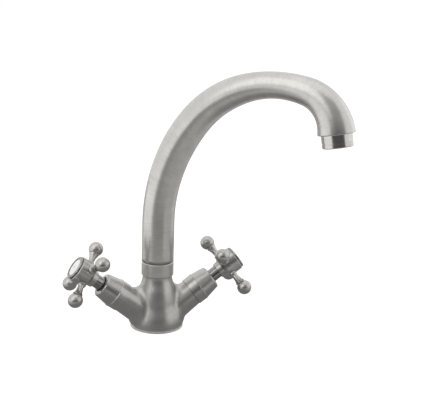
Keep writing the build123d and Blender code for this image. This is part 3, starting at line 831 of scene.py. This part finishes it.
# %% Small parts' finishes
def plain(name, vector_maker, dark, light, rough, grain, depth, **values):
    """A finish with a grain that shifts colour and roughness and lifts the surface a little."""
    material = empty_material(name)
    tree = material.node_tree
    vector = vector_maker(tree)
    pattern = noise(tree, vector, grain, 3.0)
    colour = mix(tree, "RGBA", ramp(tree, pattern, 0.0, 1.0, *noise_span), dark, light)
    roughness = ramp(tree, pattern, rough * 0.85, rough * 1.15, *noise_span)
    return principled(material, colour, roughness, bump(tree, pattern, depth), **values)


chrome = plain("bright chrome", upright_place, (0.27, 0.265, 0.26, 1), (0.35, 0.345, 0.335, 1),
               0.10, 400, 0.001 * MM, Metallic=1.0)
rubber = plain("black rubber", upright_place, (0.010, 0.010, 0.011, 1), (0.022, 0.022, 0.023, 1),
               0.55, 900, 0.02 * MM)
white_plastic = plain("white acetal", upright_place, (0.72, 0.71, 0.68, 1), (0.80, 0.79, 0.76, 1),
                      0.42, 500, 0.004 * MM)
grey_plastic = plain("grey plastic", upright_place, (0.085, 0.088, 0.092, 1),
                     (0.12, 0.123, 0.128, 1), 0.4, 600, 0.006 * MM)
ceramic = plain("lapped ceramic", upright_place, (0.60, 0.58, 0.54, 1), (0.68, 0.66, 0.62, 1),
                0.22, 1500, 0.001 * MM)

lathe_per_mm = 2.5
lathe_depth = 0.01 * MM
lathe_spread = 0.06


def turned_metal(name, vector_maker, dark, light, rough):
    """Bare metal with a lathe's rings."""
    material = empty_material(name)
    tree = material.node_tree
    vector = vector_maker(tree)
    lines = place_group(tree, ring_lines, Vector=vector, Lines_per_mm=lathe_per_mm)["Lines"]
    colour = mix(tree, "RGBA", ramp(tree, lines, 0.0, 1.0, *noise_span), dark, light)
    roughness = ramp(tree, lines, rough + lathe_spread, rough - lathe_spread, *noise_span)
    return principled(material, colour, roughness, bump(tree, lines, lathe_depth), Metallic=1.0)


print("plain finishes:", chrome.name, rubber.name, white_plastic.name, grey_plastic.name,
      ceramic.name)

# %% [markdown]
# ## Which small part gets which finish
# The frame keeps each side's parts under the same names with a different start,
# so most finishes could be handed out one by one or, as here, in one loop over
# both sides. The strainer and the nut in the mouth were turned round the mouth's
# own leaning axis. Turned parts of one side share an axis, and so they can share
# a finish.

# %% Small parts
brass_colours = ((0.60, 0.42, 0.17, 1), (0.78, 0.58, 0.27, 1))
steel_colours = ((0.42, 0.42, 0.43, 1), (0.56, 0.56, 0.57, 1))
dress("swivel_nipple", turned_metal("machined brass nipple", upright_place, *brass_colours, 0.25))
mouth_out, mouth_height, mouth_bend = neck_place(neck_length)
in_mouth = about(neck_outwards * mouth_out + up_axis * mouth_height,
                 neck_outwards * sin(mouth_bend) + up_axis * cos(mouth_bend))
dress("aerator_housing", satin("satin nickel outlet nut", in_mouth, rough=0.2))
dress("aerator_screen", turned_metal("steel strainer", in_mouth, *steel_colours, 0.3))
dress("aerator_insert", grey_plastic)
for name in ("base_gasket", "nipple_orings", "aerator_washer"):
    dress(name, rubber)
for name in ("glide_ring", "snap_ring"):
    dress(name, white_plastic)
for side, axis in valve_axes.items():
    turning = about(valve_origin, axis)
    dress(f"{side}_cartridge_body", chrome)
    dress(f"{side}_spindle", turned_metal(f"machined brass {side}", turning, *brass_colours, 0.25))
    steel = turned_metal(f"steel {side}", turning, *steel_colours, 0.25)
    for piece in ("spindle_clip", "handle_screw"):
        dress(f"{side}_{piece}", steel)
    for piece in ("cartridge_gasket", "seat_seal", "spindle_orings"):
        dress(f"{side}_{piece}", rubber)
    for piece in ("fixed_disc", "moving_disc"):
        dress(f"{side}_{piece}", ceramic)
    dress(f"{side}_thrust_washer", white_plastic)
print("materials so far:", len(bpy.data.materials))

# %% [markdown]
# ## The index discs
# Each handle ends in a glossy white disc, with painted shade as a dark line where
# it meets its bezel. A mark tells the sides apart: a dot on the hot side and a
# small ring on the cold side. A picture could carry them, but it would blur close
# up, and the distance from the valve's axis is enough to draw both marks and the
# painted shade line.


# %% Index discs
# Painted shade: a dark band on the disc's edge stands for the shade in the gap at the bezel.
painted_gap_shade = (8.0 * MM, 8.3 * MM)
mark_softness = 0.15 * MM
mark_grey, gap_shade_grey = (0.12, 0.12, 0.125, 1), (0.06, 0.06, 0.06, 1)


def index_white(name, axis, mark):
    """Glossy white with a grey mark between two radii, and painted shade as a dark line at the
    bezel.
    """
    material = empty_material(name)
    tree = material.node_tree
    vector = axis_mapping(tree, valve_origin, axis)
    radius = place_group(tree, ring_lines, Vector=vector)["Distance"]
    inner, outer = mark
    inside = ramp(tree, radius, 1.0, 0.0, outer, outer + mark_softness)
    if inner > 0:
        beyond = ramp(tree, radius, 0.0, 1.0, inner - mark_softness, inner)
        inside = calculate(tree, "MULTIPLY", inside, beyond)
    cloud = noise(tree, vector, 300, 2.0)
    white = mix(tree, "RGBA", cloud, (0.86, 0.86, 0.84, 1), (0.92, 0.92, 0.90, 1))
    marked = mix(tree, "RGBA", inside, white, mark_grey)
    # Painted shade at the disc's edge.
    gap_shade_mask = ramp(tree, radius, 0.0, 1.0, *painted_gap_shade)
    colour = mix(tree, "RGBA", gap_shade_mask, marked, gap_shade_grey)
    return principled(material, colour, ramp(tree, cloud, 0.12, 0.18),
                      Coat_Weight=0.6, Coat_Roughness=0.05)


index_marks = {"hot": (0.0, 0.9 * MM), "cold": (0.9 * MM, 1.5 * MM)}
for side, axis in valve_axes.items():
    dress(f"{side}_index_disc", index_white(f"index white {side}", axis, index_marks[side]))
print("marks drawn:", list(index_marks))

# %% [markdown]
# ## Shade rings
# Where each chrome neck leaves its cover, the photo shows a black line. It is
# shade in the gap between neck and cover, painted here as a black rubber ring
# set in the gap. A dark stripe in the material would lie flat, so it is a ring
# in the mesh: a small circle is set beside the axis and spun right round it.

# %% Shade rings
shade_ring_centre = 7.05 * MM
shade_ring_section = 0.78 * MM
cover_end = 66.25 * MM
shade_ring_depth = 0.7 * MM
shade_ring_sides, shade_ring_steps = 12, 64
shade_ring_weld = 0.01 * MM
quarter_turn = Matrix.Rotation(pi / 2, 3, "X")
# Painted shade: a black rubber ring fills the gap where the shade falls.
for side, axis in valve_axes.items():
    ring_mesh = bmesh.new()
    circle = bmesh.ops.create_circle(ring_mesh, segments=shade_ring_sides, radius=shade_ring_section)
    section = circle["verts"]
    bmesh.ops.rotate(ring_mesh, verts=section, cent=(0, 0, 0), matrix=quarter_turn)
    bmesh.ops.translate(ring_mesh, verts=section, vec=(shade_ring_centre, 0, 0))
    bmesh.ops.spin(ring_mesh, geom=ring_mesh.verts[:] + ring_mesh.edges[:], cent=(0, 0, 0),
                   axis=up_axis, angle=2 * pi, steps=shade_ring_steps, use_merge=True)
    seat = Matrix.Translation(valve_origin + axis * (cover_end - shade_ring_depth))
    lean = axis.to_track_quat("Z", "Y").to_matrix().to_4x4()
    bmesh.ops.transform(ring_mesh, verts=ring_mesh.verts, matrix=seat @ lean)
    bmesh.ops.remove_doubles(ring_mesh, verts=ring_mesh.verts, dist=shade_ring_weld)
    bmesh.ops.recalc_face_normals(ring_mesh, faces=ring_mesh.faces)
    new_piece(f"{side}_shade_ring", ring_mesh, rubber, "tap_body")
print("shade rings made:", len(valve_axes))
